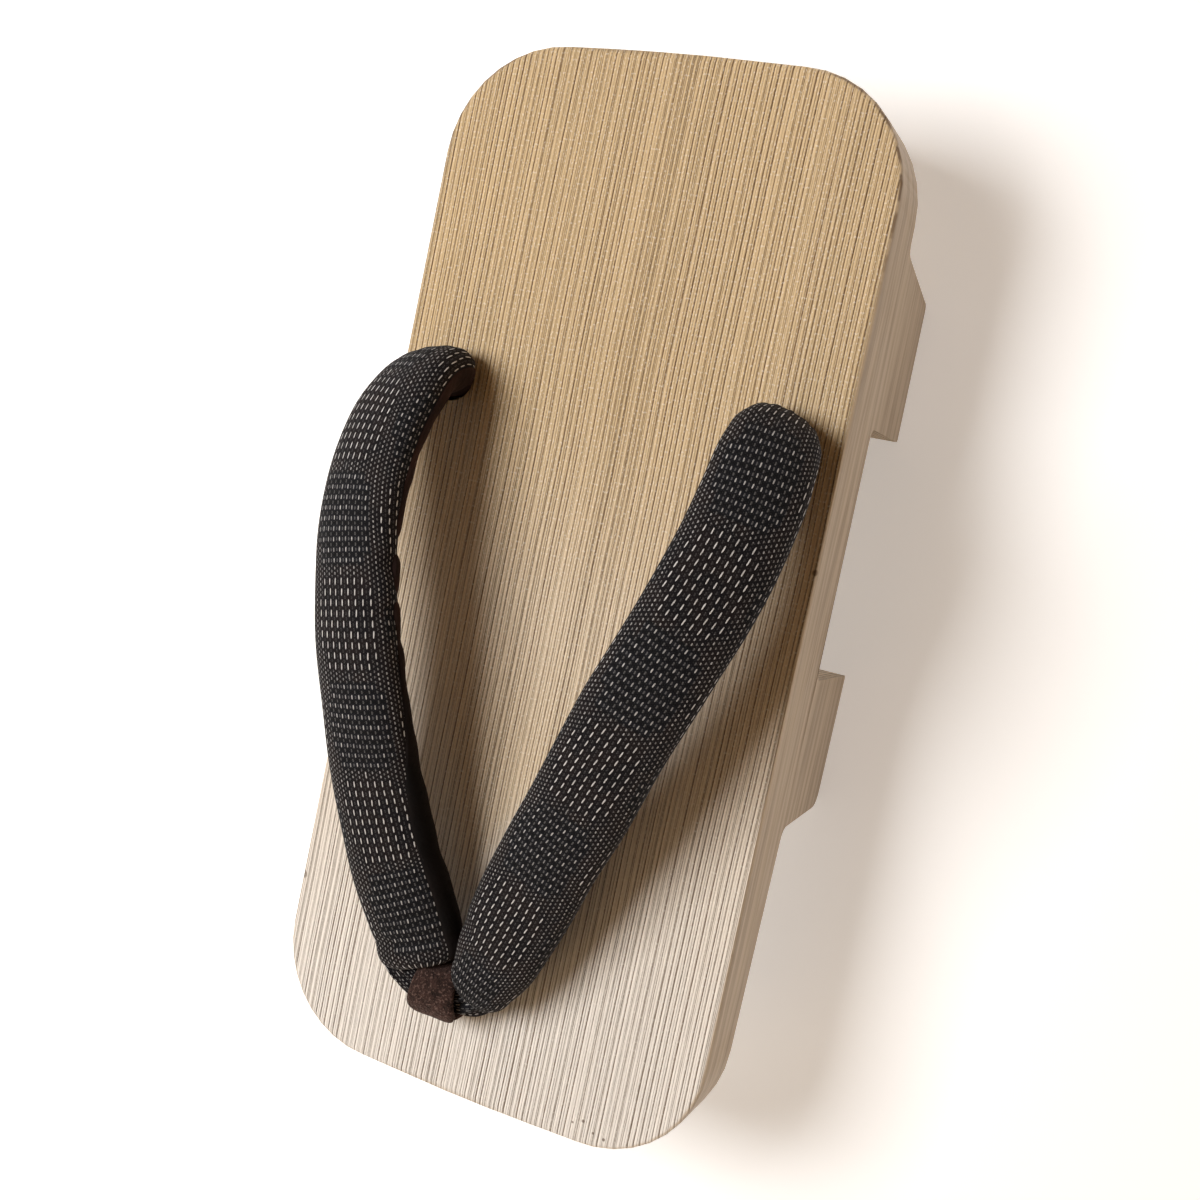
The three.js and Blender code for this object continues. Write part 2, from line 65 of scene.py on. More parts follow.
# %% Place the camera
camera_data = bpy.data.cameras.new("camera")
camera_data.sensor_width = 36.0
camera_data.lens = 42.58
camera_data.clip_start = 0.01
camera = bpy.data.objects.new("camera", camera_data)
bpy.context.collection.objects.link(camera)
to_the_right = (0.9000, 0.2060, -0.3839)
upwards = (-0.2220, 0.9750, 0.0027)
backwards = (0.3749, 0.0829, 0.9233)
eye = (0.1330, 0.0277, 0.3572)
turn = Matrix((to_the_right, upwards, backwards)).transposed()
camera.matrix_world = Matrix.Translation(eye) @ turn.to_quaternion().to_matrix().to_4x4()
bpy.context.scene.camera = camera
print("camera at", [round(value, 3) for value in camera.location])

# %% [markdown]
# ## Shader sums
# Wood grain and woven cloth are sums over a place on the surface. Written as sums they read
# like the idea behind them, so this class wraps one socket and turns each operator into a
# Math node. Every other node comes from its one method, which sets the settings first.

# %% Wrap a socket
class Wire:
    """A value on its way through a material: the output socket it comes from."""

    def __init__(self, socket):
        self.socket = socket

    def node(self, kind, settings=None, inputs=None, output=0):
        """Adds a node: its settings first, then a value or a wire for each named socket."""
        added = self.socket.id_data.nodes.new(kind)
        for setting, value in (settings or {}).items():
            setattr(added, setting, value)
        for socket_name, value in (inputs or {}).items():
            if isinstance(value, Wire):
                self.socket.id_data.links.new(value.socket, added.inputs[socket_name])
            else:
                added.inputs[socket_name].default_value = value
        return Wire(added.outputs[output])

    def sum(self, operation, *values):
        """A Math node on these values, in order."""
        return self.node("ShaderNodeMath", {"operation": operation}, dict(enumerate(values)))

    def __add__(self, other):
        return self.sum("ADD", self, other)

    __radd__ = __add__

    def __sub__(self, other):
        return self.sum("SUBTRACT", self, other)

    def __rsub__(self, other):
        return self.sum("SUBTRACT", other, self)

    def __mul__(self, other):
        return self.sum("MULTIPLY", self, other)

    __rmul__ = __mul__

    def __truediv__(self, other):
        return self.sum("DIVIDE", self, other)

    def __pow__(self, power):
        return self.sum("POWER", self, power)

    def __abs__(self):
        return self.sum("ABSOLUTE", self)

    def floor(self):
        """The whole number below."""
        return self.sum("FLOOR", self)

    def part(self):
        """What is left above the whole number below, from 0 to 1."""
        return self.sum("FRACT", self)

    def wave(self):
        """The cosine of a full turn for each whole number."""
        return self.sum("COSINE", self * (2 * np.pi))

    def ramp(self, low, high):
        """Rises smoothly from 0 at low to 1 at high, or falls if low is above high."""
        reach = {"Value": self, "From Min": low, "From Max": high}
        return self.node("ShaderNodeMapRange", {"interpolation_type": "SMOOTHSTEP"}, reach)


# %% Helpers for colours and noise
def start_material(name, **constants):
    """A material, its shader with the given constants, and a wire to begin from."""
    paint = bpy.data.materials.new(name)
    paint.use_nodes = True
    shader = paint.node_tree.nodes["Principled BSDF"]
    for socket_name, value in constants.items():
        shader.inputs[socket_name.replace("_", " ")].default_value = value
    coordinates = paint.node_tree.nodes.new("ShaderNodeTexCoord")
    return paint, shader, Wire(coordinates.outputs["Object"])


def feed(shader, socket_name, wire):
    """Leads a wire to one of the shader's sockets."""
    shader.id_data.links.new(wire.socket, shader.inputs[socket_name])


def split(wire):
    """The three numbers of a vector."""
    x = wire.node("ShaderNodeSeparateXYZ", None, {0: wire})
    node = x.socket.node
    return [Wire(node.outputs[i]) for i in range(3)]


def join(x, y, z, start):
    """A vector of three numbers, any of which may be plain."""
    return start.node("ShaderNodeCombineXYZ", None, {0: x, 1: y, 2: z})


def noise(vector, scale=1.0, detail=2.0, roughness=0.5):
    """Smooth noise between 0 and 1, its grain 1/scale wide."""
    inputs = {"Vector": vector, "Scale": scale, "Detail": detail, "Roughness": roughness}
    return vector.node("ShaderNodeTexNoise", None, inputs)


def chance(number):
    """A random value between 0 and 1 for each whole number."""
    return number.node("ShaderNodeTexWhiteNoise", {"noise_dimensions": "1D"}, {"W": number})


def blend(share, first, second):
    """A colour between two, each a wire or a plain colour."""
    colours = [c if isinstance(c, Wire) else (*c, 1.0) for c in (first, second)]
    inputs = {"Factor": share, 6: colours[0], 7: colours[1]}
    return share.node("ShaderNodeMix", {"data_type": "RGBA"}, inputs, 2)


def shade(colour, share):
    """A colour multiplied by a number."""
    grey = share.node("ShaderNodeCombineColor", None, {0: share, 1: share, 2: share})
    settings = {"data_type": "RGBA", "blend_type": "MULTIPLY"}
    return share.node("ShaderNodeMix", settings, {"Factor": 1.0, 6: colour, 7: grey}, 2)


def bump(height, depth, under=None):
    """Relief for the Normal socket: height times depth in metres, over another relief."""
    inputs = {"Height": height, "Distance": depth, "Strength": 1.0}
    if under is not None:
        inputs["Normal"] = under
    return height.node("ShaderNodeBump", None, inputs)


# %% [markdown]
# ## Floor
# The shoe stands on a pale floor that turns up far away, as the paper of a photographer's
# sweep does, so no view meets a hard horizon. It is a profile turned round the upright line
# through the middle. It glows a little by itself, more so far away, and that keeps it white
# behind the shoe, while the shadow close by stays soft.

# %% Lay the floor
# columns: distance from the middle, height, in metres
SWEEP = np.array([(1.0, 0.0), (3.0, 0.0), (5.2, 0.0), (5.8, 0.08), (6.2, 0.45), (6.4, 1.0), (6.45, 1.75)])
SPOKES = 96
radii, heights = SWEEP.T
turns = np.linspace(0, 2 * np.pi, SPOKES, endpoint=False)
rings = np.stack([radii[:, None] * np.cos(turns), radii[:, None] * np.sin(turns),
                  np.repeat(heights[:, None], SPOKES, axis=1)], axis=-1).reshape(-1, 3)
floor_points = np.concatenate([rings, [[0.0, 0.0, 0.0]]])
level, spoke = np.meshgrid(np.arange(len(radii) - 1), np.arange(SPOKES), indexing="ij")
next_spoke = (spoke + 1) % SPOKES
near_ring, far_ring = level * SPOKES, (level + 1) * SPOKES
sweep_quads = np.stack([near_ring + spoke, far_ring + spoke, far_ring + next_spoke,
                        near_ring + next_spoke], axis=-1).reshape(-1, 4)
first_ring = np.arange(SPOKES)
middle_fan = np.stack([np.full(SPOKES, len(rings)), first_ring, (first_ring + 1) % SPOKES], axis=1)
floor_mesh = bpy.data.meshes.new("floor")
floor_mesh.from_pydata(floor_points.tolist(), [], middle_fan.tolist() + sweep_quads.tolist())
floor_mesh.polygons.foreach_set("use_smooth", np.ones(len(floor_mesh.polygons), bool))
floor = bpy.data.objects.new("floor", floor_mesh)
bpy.context.collection.objects.link(floor)
print("floor reaches", radii[-1], "m from the middle")

# %% Paint the floor
floor_paint, floor_shader, floor_place = start_material("pale_floor", Roughness=0.9, Emission_Strength=1.0)
floor_shader.inputs["Base Color"].default_value = (0.94, 0.94, 0.94, 1)
from_middle = floor_place.node("ShaderNodeVectorMath", {"operation": "LENGTH"}, {0: floor_place}, 1)
glow = blend(from_middle.ramp(0.5, 3.5), (0.31, 0.31, 0.31), (0.50, 0.485, 0.465))
feed(floor_shader, "Emission Color", glow)
floor_mesh.materials.append(floor_paint)

# %% [markdown]
# ## Light
# Soft light comes through a window beyond the inner side of the shoe. It throws each leg's
# shadow across the board towards the outer side. One large lamp does that. A second one
# beyond the toes gives the brushed wood its pale sheen there, and a faint third one by the
# outer side stands for light thrown back by a wall. The sky is warm and weak, because what
# fills a shadow on wood has mostly come off more wood.

# %% Hang the lamps
LAMP_AIM = Vector((0.0, 0.0, 0.04))


def hang_lamp(name, place, size, watts, tint):
    """A square lamp at a place, turned so that it shines at the middle of the shoe."""
    data = bpy.data.lights.new(name, "AREA")
    data.size = size
    data.energy = watts
    data.color = tint
    lamp = bpy.data.objects.new(name, data)
    lamp.rotation_euler = (LAMP_AIM - Vector(place)).to_track_quat("-Z", "Y").to_euler()
    lamp.location = place
    bpy.context.collection.objects.link(lamp)


hang_lamp("window", (-0.43, 0.07, 0.80), 0.44, 7.5, (0.965, 0.985, 1.0))
hang_lamp("toe_side_glow", (-0.30, -0.75, 0.75), 0.60, 1.3, (1.0, 0.80, 0.55))
hang_lamp("wall_glow", (0.85, 0.05, 0.14), 0.50, 0.15, (1.0, 0.97, 0.93))
sky = bpy.data.worlds.new("sky")
sky.use_nodes = True
sky_light = sky.node_tree.nodes["Background"]
sky_light.inputs["Color"].default_value = (1.0, 0.58, 0.24, 1)
sky_light.inputs["Strength"].default_value = 0.19
bpy.context.scene.world = sky
bpy.context.scene.view_settings.view_transform = "Standard"

# %% [markdown]
# ## Cedar
# The board is cut so that the year rings stand upright and run the length of the shoe.
# Brushing wears the soft early wood away, so each ring ends in a proud brown line. One sum
# does this: the distance across the board, a little uneven, counted in rings. Because it is
# a solid pattern, the lines run on down the heel and toe ends, as the real ones do. Finer
# rings, twice as many, lie between the wide ones.

# %% Count the year rings
cedar, cedar_shader, cedar_place = start_material("cedar", Specular_IOR_Level=0.42)
across, along, up = split(cedar_place)
facing = cedar_place.node("ShaderNodeNewGeometry", None, None, 1)
face_across, _, face_up = split(facing)

WIDE_RINGS = 700.0
FINE_RINGS = 2 * WIDE_RINGS
sway = noise(join(across * 9.0, along * 13.0, up * 9.0, across), 1.0, 1.0) - 0.5
rings_at = across + sway * 0.0022
uneven = noise(join(rings_at * 150.0, along * 1.2, up * 1.2, across), 1.0, 1.0)
wide_ring = rings_at * WIDE_RINGS + uneven * 2.0
fine_ring = rings_at * FINE_RINGS + noise(join(rings_at * 380.0, 3.7, along * 1.5, across)) * 2.0


def late_wood(ring, sharpness):
    """Dark towards the end of each ring, then cut off: the ring's share to a power."""
    share = ring.part()
    return share**sharpness * share.ramp(1.0, 0.93)


wide_line = late_wood(wide_ring, 4.0)
fine_line = late_wood(fine_ring, 2.4)
wide_strength = chance(wide_ring.floor()) * 0.45 + 0.62
fine_strength = chance(fine_ring.floor() + 71.0) * 0.6 + 0.4
fade = noise(join(rings_at * 500.0, along * 14.0, up * 14.0, across), 1.0, 2.0).ramp(0.25, 0.7)
beads = noise(join(rings_at * 1500.0, along * 420.0, up * 420.0, across), 1.0, 3.0, 0.6)
print("rings per 100 mm: wide", WIDE_RINGS / 10, "fine", FINE_RINGS / 10)

# %% [markdown]
# The colour is straw with brown late wood, warmer at the heel and paler towards the toes.
# That paleness is painted sheen, the light the brushed wood reflects there, and less of it is
# painted between the legs, where their shadow lies: painted shade. The long sides lie flat to
# the rings, so they show only faint broad streaks, greyer and smoother than the top. A thin
# band of a paler tone, a painted highlight on the rounding, runs along the eased edge,
# bruised near the heel, and six small knocks lie where a worn shoe has them. Masks on the
# place and the facing do all this.

# %% Colour the cedar
# each knock: its place in metres, and how far it spreads in millimetres
KNOCKS = [((0.0567, 0.0173, 0.0485), 0.9), ((-0.0570, -0.0871, 0.0483), 1.3),
          ((0.0310, -0.1210, 0.0487), 0.5), ((0.0340, -0.1229, 0.0487), 0.4),
          ((0.0369, -0.1234, 0.0487), 0.5), ((0.0285, -0.1222, 0.0487), 0.35)]
# This marks the board between and under the legs, where their shadow lies. Less pale sheen is painted
# there, so it stays darker: painted shade.
between_legs = ((along + 0.078) * 0.43 - abs(across + 0.004 - along * 0.12)).ramp(-0.006, 0.006)
# This mask pales the straw and its brown lines towards the toes: a painted sheen of reflected light, held
# back between the legs.
painted_toe_sheen = along.ramp(0.060, -0.130) * (1 - between_legs * along.ramp(0.005, -0.045) * 0.6)
heel_straw = (0.620, 0.450, 0.248)
sheen_pale_straw = (0.880, 0.825, 0.760)
straw = blend(painted_toe_sheen, heel_straw, sheen_pale_straw)
mottle = noise(join(across * 30.0, along * 9.0, up * 30.0, across), 1.0, 3.0)
straw = shade(straw, mottle * 0.22 + 0.90)
# The brown late wood also pales towards the toes: the same painted sheen.
brown = blend(painted_toe_sheen, (0.150, 0.080, 0.028), (0.230, 0.175, 0.130))
lines = wide_line * wide_strength * (fade * 0.4 + 0.6) * 1.35 + fine_line * fine_strength * 0.85
lines = lines * (beads * 0.9 + 0.55)
grain_colour = blend(lines.ramp(0.0, 1.05), straw, brown)
fibre = noise(join(across * 5200.0, along * 160.0, up * 900.0, across), 1.0, 2.0)
grain_colour = shade(grain_colour, fibre * 0.40 + beads * 0.24 + 0.68)
sparks = noise(join(across * 2600.0, along * 1500.0, up * 1500.0, across), 1.0, 0.0)
grain_colour = blend(sparks.ramp(0.58, 0.74) * 0.30, grain_colour, (0.93, 0.87, 0.78))

on_the_side = abs(face_across).ramp(0.60, 0.90)
streak = noise(join(along * 22.0, up * 620.0, across * 90.0, across), 1.0, 3.0)
side_colour = blend(streak.ramp(0.3, 0.75), (0.490, 0.390, 0.285), (0.320, 0.245, 0.172))
cedar_colour = blend(on_the_side, grain_colour, side_colour)
on_the_edge = face_up.ramp(0.20, 0.45) * face_up.ramp(0.98, 0.80)
scraped = noise(join(across * 20.0, along * 260.0, up * 20.0, across), 1.0, 2.0)
bruised = on_the_edge * along.ramp(0.070, 0.105) * scraped.ramp(0.40, 0.55)
# The eased edge is blended half way to a paler tone: a painted highlight on its rounding.
cedar_colour = blend(on_the_edge * 0.5, cedar_colour, (0.640, 0.500, 0.340))
cedar_colour = blend(bruised * 0.8, cedar_colour, (0.150, 0.085, 0.040))
knocks = 0
for place, reach in KNOCKS:
    off_knock = {0: cedar_place, 1: place}
    distance = cedar_place.node("ShaderNodeVectorMath", {"operation": "DISTANCE"}, off_knock, 1)
    knocks = knocks + distance.ramp(reach * MM, reach * 0.5 * MM)
cedar_colour = blend(knocks * 0.75, cedar_colour, (0.120, 0.070, 0.035))
feed(cedar_shader, "Base Color", cedar_colour)
feed(cedar_shader, "Roughness", lines * 0.18 + fibre * 0.16 + 0.42)

# %% Brush the cedar
ridge = wide_line * wide_strength * 0.7 + wide_ring.part() * 0.30 + fine_line * fine_strength * 0.8
ridge = ridge * (beads * 0.4 + 0.8)
flat_side = 1 - on_the_side
relief = bump(ridge * flat_side, 0.50 * MM)
relief = bump(fibre * flat_side + streak * on_the_side * 0.5, 0.05 * MM, relief)
feed(cedar_shader, "Normal", relief)

# %% [markdown]
# ## The wooden base
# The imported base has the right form, but its faces are flat facets. A smooth copy with its
# own normals shows the wood better than one made again, and keeps every hole. Merging its
# doubles comes first, then a bevel softens the sawn edges.

# %% Smooth the base
base_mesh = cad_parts["sole"].data.copy()
base = bpy.data.objects.new("cedar_base", base_mesh)
base.matrix_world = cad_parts["sole"].matrix_world.copy()
bpy.context.collection.objects.link(base)

welded = bmesh.new()
welded.from_mesh(base_mesh)
welded.transform(base.matrix_world)
bmesh.ops.remove_doubles(welded, verts=welded.verts, dist=0.01 * MM)
bmesh.ops.dissolve_limit(welded, angle_limit=np.radians(1.0), verts=welded.verts, edges=welded.edges)
for face in welded.faces:
    face.smooth = True
welded.to_mesh(base_mesh)
welded.free()
base.matrix_world = Matrix.Identity(4)
base_mesh.materials.clear()
base_mesh.materials.append(cedar)

soften = base.modifiers.new("softened_edges", "BEVEL")
soften.width = 0.5 * MM
soften.segments = 2
soften.limit_method = "ANGLE"
soften.angle_limit = np.radians(50)
even = base.modifiers.new("even_light", "WEIGHTED_NORMAL")
even.keep_sharp = False
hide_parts("sole")
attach(base, "root")
print("base faces:", len(base_mesh.polygons))

# %% [markdown]
# ## Surfaces from grids
# The legs, lining, loop and knots are all tubes: a closed section carried along a path.
# Each is a grid of points, one row for each station and one column for each place round
# the section. These helpers read a table smoothly, carry the section and make the mesh.

# %% Read a table smoothly
def between(table, places):
    """Each column on a curve through its rows whose slope at a row is half the step from
    the row before to the row after."""
    rows = np.asarray(table, float)
    row = np.clip(np.floor(places).astype(int), 0, len(rows) - 2)
    t = (places - row)[:, None]
    p, q, r, s = [rows[np.clip(row + step, 0, len(rows) - 1)] for step in (-1, 0, 1, 2)]
    before, after, rise = (r - p) / 2, (s - q) / 2, r - q
    return q + t * (before + t * (3 * rise - 2 * before - after + t * (before + after - 2 * rise)))


def unit(vectors):
    """Vectors of length 1."""
    return vectors / np.linalg.norm(vectors, axis=-1, keepdims=True)


def lengths_along(points):
    """How far each point of a path is from its first."""
    steps = np.linalg.norm(np.diff(points, axis=0), axis=1)
    return np.concatenate([[0.0], np.cumsum(steps)])


# %% Carry a section along a path
def rounded(value, fullness):
    """A cosine or sine pushed out to a fuller section: its size to the power 2 / fullness."""
    return np.sign(value) * np.abs(value) ** (2 / fullness)


def tube(centres, facings, widths, thicks, angles, fullness, grow=0.0):
    """Rows of points round a path. Each is centre + side x width/2 x rounded(cos angle)
    + face x thickness/2 x rounded(sin angle), where side and face are square to the path.
    grow swells the section, and may differ for each row and column."""
    ahead = unit(np.gradient(centres, axis=0))
    face = unit(facings - np.sum(facings * ahead, axis=1, keepdims=True) * ahead)
    side = np.cross(ahead, face)
    sideways = rounded(np.cos(angles), fullness)
    outwards = rounded(np.sin(angles), fullness)
    half_width = widths[:, None] / 2 + grow
    half_thick = thicks[:, None] / 2 + grow
    return (centres[:, None] + side[:, None] * (half_width * sideways)[..., None]
            + face[:, None] * (half_thick * outwards)[..., None])


def even_angles(count, width, thick, fullness, start):
    """Angles round a section that are evenly spaced along its edge, and their distance
    along that edge from the crown, which is at a quarter turn."""
    fine = start + np.linspace(0, 2 * np.pi, 4001)
    edge = np.stack([rounded(np.cos(fine), fullness) * width / 2,
                     rounded(np.sin(fine), fullness) * thick / 2], axis=1)
    run = lengths_along(edge)
    stops = np.linspace(0, run[-1], count + 1)
    angles = np.interp(stops, run, fine)
    crown = np.interp(np.pi / 2 + (2 * np.pi if start > np.pi / 2 else 0), fine, run)
    return angles, stops - crown


# %% Make a mesh of a grid
def marks_of(around, distance):
    """The UV map of a grid: how far round the section each column is, and how far along
    the path each row is."""
    return np.stack(np.meshgrid(around, distance), axis=-1)


def skin(name, grid, marks, paint):
    """A closed tube from a grid of points whose last column repeats its first. Both ends
    close on a middle point. marks are the two numbers of the UV map for each grid point."""
    rows, columns = grid.shape[0], grid.shape[1] - 1
    points = grid[:, :-1].reshape(-1, 3)
    ends = np.stack([grid[0, :-1].mean(axis=0), grid[-1, :-1].mean(axis=0)])
    points = np.concatenate([points, ends])
    row, column = np.meshgrid(np.arange(rows - 1), np.arange(columns), indexing="ij")
    beside = (column + 1) % columns
    corners = [row * columns + column, row * columns + beside,
               (row + 1) * columns + beside, (row + 1) * columns + column]
    quads = np.stack(corners, axis=-1).reshape(-1, 4)
    quad_marks = np.stack([marks[row, column], marks[row, column + 1],
                           marks[row + 1, column + 1], marks[row + 1, column]], axis=2).reshape(-1, 2)
    ring = np.arange(columns)
    first, last = rows * columns, rows * columns + 1
    top = (rows - 1) * columns
    caps = np.concatenate([
        np.stack([np.full(columns, first), (ring + 1) % columns, ring], axis=1),
        np.stack([np.full(columns, last), top + ring, top + (ring + 1) % columns], axis=1)])
    low_marks = np.stack([marks[0, ring], marks[0, ring + 1], marks[0, ring]], axis=1)
    high_marks = np.stack([marks[-1, ring], marks[-1, ring], marks[-1, ring + 1]], axis=1)
    cap_marks = np.concatenate([low_marks, high_marks]).reshape(-1, 2)
    corner = points[quads]
    volume = np.sum(corner[:, 0] * np.cross(corner[:, 1], corner[:, 2]))
    volume += np.sum(corner[:, 0] * np.cross(corner[:, 2], corner[:, 3]))
    if volume < 0:
        quads, caps = quads[:, ::-1], caps[:, ::-1]
        quad_marks = quad_marks.reshape(-1, 4, 2)[:, ::-1].reshape(-1, 2)
        cap_marks = cap_marks.reshape(-1, 3, 2)[:, ::-1].reshape(-1, 2)
    mesh = bpy.data.meshes.new(name)
    mesh.from_pydata(points.tolist(), [], quads.tolist() + caps.tolist())
    layer = mesh.uv_layers.new(name="cloth")
    layer.data.foreach_set("uv", np.concatenate([quad_marks, cap_marks]).astype("f").ravel())
    mesh.polygons.foreach_set("use_smooth", np.ones(len(mesh.polygons), bool))
    mesh.materials.append(paint)
    made = bpy.data.objects.new(name, mesh)
    bpy.context.collection.objects.link(made)
    print(name, "triangles:", 2 * len(quads) + len(caps))
    return made


def gather(name, parts, paint):
    """Joins meshes into one piece of one material."""
    joined = bmesh.new()
    for part in parts:
        joined.from_mesh(part.data)
        bpy.data.objects.remove(part)
    mesh = bpy.data.meshes.new(name)
    mesh.materials.append(paint)
    joined.to_mesh(mesh)
    joined.free()
    made = bpy.data.objects.new(name, mesh)
    bpy.context.collection.objects.link(made)
    return made


# %% [markdown]
# ## The cloth
# The thong's cotton is charcoal with off-white running stitches on an even lattice. In
# round patches the stitches are long and bold, in others short and dim between ribs, and
# the ground between has small dots. The two kinds of patch take turns like a chessboard.
# The lattice is counted on the UV map, which is laid out in millimetres.

# %% Count columns and rows of stitches
COLUMN = 1.93
ROW = 2.33
cloth, cloth_shader, cloth_place = start_material("strap_cloth", Sheen_Weight=0.03, Sheen_Roughness=0.4)
cloth_shader.inputs["Specular IOR Level"].default_value = 0.14
cloth_marks = cloth_place.node("ShaderNodeUVMap", {"uv_map": "cloth"})
round_it, along_it, _ = split(cloth_marks)
loose = noise(join(round_it * 0.35, along_it * 0.35, 0.0, round_it), 1.0, 2.0) - 0.5
column = (round_it + loose * 0.35) / COLUMN
row = (along_it + loose * 0.5) / ROW
patch_column = (column.floor() - 0.9) / 10.5
patch_row = row.floor() / 10.0
near_column = (patch_column + 0.5).floor()
near_row = (patch_row + 0.5).floor()
off_column = abs(patch_column - near_column) * 10.5
off_row = abs(patch_row - near_row) * 10.0
in_patch = ((off_column / 4.7) ** 2.4 + (off_row / 5.0) ** 2.4).ramp(1.02, 0.98)
odd = ((near_column + near_row) * 0.5).part().ramp(0.2, 0.3)
bold = in_patch * (1 - odd)
dim = in_patch * odd
ground = 1 - in_patch

# %% Draw the stitches
def stitch(place_across, place_along, half_width, half_length):
    """A rounded dash: 1 inside, falling to 0 at its edge, in shares of the lattice."""
    sideways = (abs(place_across.part() - 0.5) / half_width) ** 2.0
    lengthways = (abs(place_along.part() - 0.5) / half_length) ** 4.0
    return (sideways + lengthways).ramp(1.15, 0.45)


tilt = row.part() * 0.10
worn = chance(column.floor() * 17.0 + row.floor() * 5.0) * 0.40 + 0.60
frayed = noise(cloth_marks, 2.6, 3.0, 0.7)
bold_stitch = stitch(column - tilt + frayed * 0.06, row, 0.090, 0.35)
dim_stitch = stitch(column - tilt * 0.5, row, 0.095, 0.24)
dot = stitch(column, row * 2.0, 0.10, 0.27)
faint_dot = stitch(column + 0.5, row * 2.0 + 0.5, 0.10, 0.24)
small_dot = stitch(column * 4.0 + 0.25, row * 4.0 + (column * 4.0 + 0.25).floor() * 0.5, 0.26, 0.26)
bright = (bold_stitch * bold * 1.1 + dim_stitch * dim * 0.66 + dot * ground * 0.56) * worn
bright = bright * (frayed * 1.1 + 0.45)
half_way = stitch(column + 0.5, row * 2.0 + 0.5, 0.11, 0.34)
faint = faint_dot * ground * 0.30 + half_way * (bold * 0.12 + dim * 0.20)
faint = faint + small_dot * (ground * 0.18 + in_patch * 0.13) * frayed.ramp(0.35, 0.65)

yarn = (column * 4.0).wave() * (row * 4.0).wave()
rib = (row + 0.5).wave() * dim
uneven_dye = noise(cloth_marks, 0.18, 2.0).ramp(0.35, 0.65)
dark_base = blend(uneven_dye, (0.0045, 0.0038, 0.0055), (0.0095, 0.0065, 0.0070))
dark_base = blend(dim * 0.8, dark_base, (0.0050, 0.0058, 0.0085))
dark_base = shade(dark_base, 1 + yarn * 0.35 + rib * 0.45)
cloth_colour = blend((bright + faint).ramp(0.0, 1.0), dark_base, (0.74, 0.72, 0.71))
feed(cloth_shader, "Base Color", cloth_colour)
feed(cloth_shader, "Roughness", 0.85 - bright * 0.15)
cloth_relief = bump(bright + yarn * 0.18 + rib * 0.35 + faint, 0.22 * MM)
feed(cloth_shader, "Normal", cloth_relief)
print("stitch lattice:", COLUMN, "by", ROW, "mm")

# %% [markdown]
# ## The padded legs
# Each leg is cotton wool round a cord, sewn into a tube of the cloth. It leaves its heel
# hole upright, bends over and runs down to the toe loop. A row of the table says how far
# along, out and up the middle of the section is, how wide and thick, how far it is turned
# backwards, and how much it leans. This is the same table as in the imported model.

# %% Tables of the legs
HEEL_HOLE_BACK = 45.0
HEEL_HOLE_SPREAD = 86.0
REACH = 147.5
TOP = 48.7
UNDER_BOARD = 30.5
RISE = 25.6
WIDTH = 23.5
THICK = 11.5
LEAN = 16.0
SKEW = 10.5
TIP = 7.0
FULLNESS = 2.3
# columns: along, out, up, width, thick, back, lean
LEG = [
    (0.000, 1.000, -0.300, 0.468, 0.696, 90, 1.0), (0.000, 1.000, -0.020, 0.468, 0.696, 90, 1.0),
    (-0.006, 1.007, 0.120, 0.700, 0.860, 84, 1.1), (-0.003, 1.018, 0.265, 0.800, 0.940, 70, 1.2),
    (0.012, 1.036, 0.435, 0.890, 0.980, 50, 1.2), (0.047, 1.052, 0.590, 0.950, 1.000, 30, 1.2),
    (0.102, 1.066, 0.730, 0.985, 1.000, 14, 1.1), (0.180, 1.048, 0.875, 1.000, 1.000, 4, 1.0),
    (0.271, 0.991, 0.968, 1.000, 1.000, 0, 1.0), (0.359, 0.905, 1.000, 1.000, 1.000, 0, 0.9),
    (0.441, 0.819, 0.976, 1.000, 1.000, 0, 0.8), (0.536, 0.716, 0.883, 1.000, 1.000, 0, 0.6),
    (0.617, 0.628, 0.773, 1.000, 1.000, 0, 0.4), (0.698, 0.526, 0.656, 1.000, 1.000, 0, 0.2),
]
TIPS = {
    "inner": [(0.790, 0.385, 0.531, 0.985, 1.000, 0, 0.0), (0.864, 0.240, 0.436, 0.975, 0.960, 0, -0.1),
              (0.906, 0.165, 0.386, 0.965, 0.900, 0, -0.1)],
    "outer": [(0.808, 0.415, 0.504, 0.985, 1.000, 0, 0.1), (0.890, 0.335, 0.412, 0.890, 0.960, 0, 0.0),
              (0.938, 0.282, 0.362, 0.710, 0.880, 0, 0.0)],
}
TIP_ROUNDING = {"inner": 4.0, "outer": 2.0}


